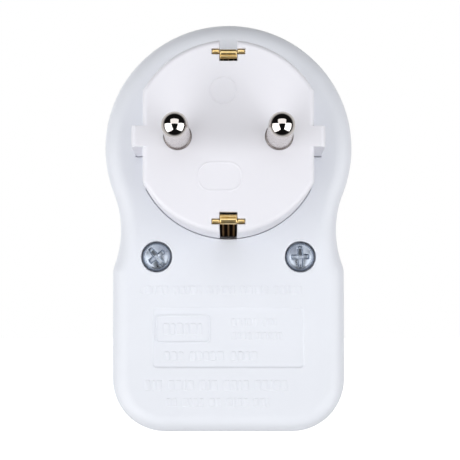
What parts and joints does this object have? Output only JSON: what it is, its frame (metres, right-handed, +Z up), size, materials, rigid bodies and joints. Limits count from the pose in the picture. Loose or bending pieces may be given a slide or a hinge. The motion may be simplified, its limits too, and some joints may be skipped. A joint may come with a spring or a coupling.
{
  "type": "plug-in power meter",
  "caption": "Plug-in energy meter with an earthed round-pin plug at the back and a shuttered appliance socket, display window and push buttons at the front.",
  "frame": {"origin": "middle of the plug face, midway between the two pins", "axes": "+Z up towards the round head, +Y out of the plug face along the pins into the wall socket, -Y towards the user, who faces the display and the appliance socket"},
  "size_m": [0.0488, 0.0678, 0.0804],
  "materials": {
    "body_abs": "satin",
    "insert_pbt": "satin",
    "nickel_plate": "polished",
    "sprung_brass": "satin",
    "zinc_plate": "satin",
    "shutter_plastic": "satin",
    "carrier_plastic": "matte",
    "board_laminate": "satin",
    "window_pane": "gloss",
    "display_glass": "gloss",
    "frame_plastic": "satin",
    "connector_rubber": "matte",
    "button_plastic": "satin",
    "black_moulding": "matte",
    "yellow_case": "satin",
    "blue_sleeve": "gloss",
    "blue_epoxy": "satin",
    "resistor_coat": "satin",
    "shunt_alloy": "satin",
    "cell_can": "satin",
    "brown_pvc": "satin",
    "blue_pvc": "satin"
  },
  "bodies": {
    "meter": {"rear_shell": "body_abs", "front_shell": "body_abs", "plug_insert": "insert_pbt", "line_pin": "nickel_plate", "neutral_pin": "nickel_plate", "upper_earth_contact": "sprung_brass", "lower_earth_contact": "sprung_brass", "earth_bridge": "sprung_brass", "upper_earth_clip": "sprung_brass", "lower_earth_clip": "sprung_brass", "socket_cup": "insert_pbt", "shutter_spring": "zinc_plate", "contact_carrier": "carrier_plastic", "carrier_screws": "zinc_plate", "line_contact": "sprung_brass", "neutral_contact": "sprung_brass", "main_board": "board_laminate", "board_screws": "zinc_plate", "display_glass": "display_glass", "display_frame": "frame_plastic", "display_window": "window_pane", "upper_connector_strip": "connector_rubber", "lower_connector_strip": "connector_rubber", "switch_bodies": "black_moulding", "case_screws": "zinc_plate", "mains_capacitor": "yellow_case", "reservoir_capacitor": "blue_sleeve", "varistor": "blue_epoxy", "fusible_resistor": "resistor_coat", "rectifier": "black_moulding", "measuring_shunt": "shunt_alloy", "metering_chip": "black_moulding", "controller_chip": "black_moulding", "crystal": "cell_can", "backup_cell": "cell_can", "cell_clip": "zinc_plate", "line_in_lead": "brown_pvc", "line_out_lead": "brown_pvc", "neutral_in_lead": "blue_pvc", "neutral_out_lead": "blue_pvc"},
    "button_1": {"button_1": "button_plastic", "plunger_1": "black_moulding"},
    "button_2": {"button_2": "button_plastic", "plunger_2": "black_moulding"},
    "button_3": {"button_3": "button_plastic", "plunger_3": "black_moulding"},
    "button_4": {"button_4": "button_plastic", "plunger_4": "black_moulding"},
    "shutter": {"shutter": "shutter_plastic"}
  },
  "joints": [
    {"name": "button_1_press", "type": "slide", "parent": "meter", "child": "button_1", "axis": [0, 1, 0], "range_m": [0, 0.0005], "stiffness_N_per_m": 600, "springref_m": -0.0005},
    {"name": "button_2_press", "type": "slide", "parent": "meter", "child": "button_2", "axis": [0, 1, 0], "range_m": [0, 0.0005], "stiffness_N_per_m": 600, "springref_m": -0.0005},
    {"name": "button_3_press", "type": "slide", "parent": "meter", "child": "button_3", "axis": [0, 1, 0], "range_m": [0, 0.0005], "stiffness_N_per_m": 600, "springref_m": -0.0005},
    {"name": "button_4_press", "type": "slide", "parent": "meter", "child": "button_4", "axis": [0, 1, 0], "range_m": [0, 0.0005], "stiffness_N_per_m": 600, "springref_m": -0.0005},
    {"name": "shutter_slide", "type": "slide", "parent": "meter", "child": "shutter", "axis": [0, 0, -1], "range_m": [0, 0.0056], "stiffness_N_per_m": 60, "springref_m": -0.003, "deforming": ["shutter_spring"]}
  ]
}
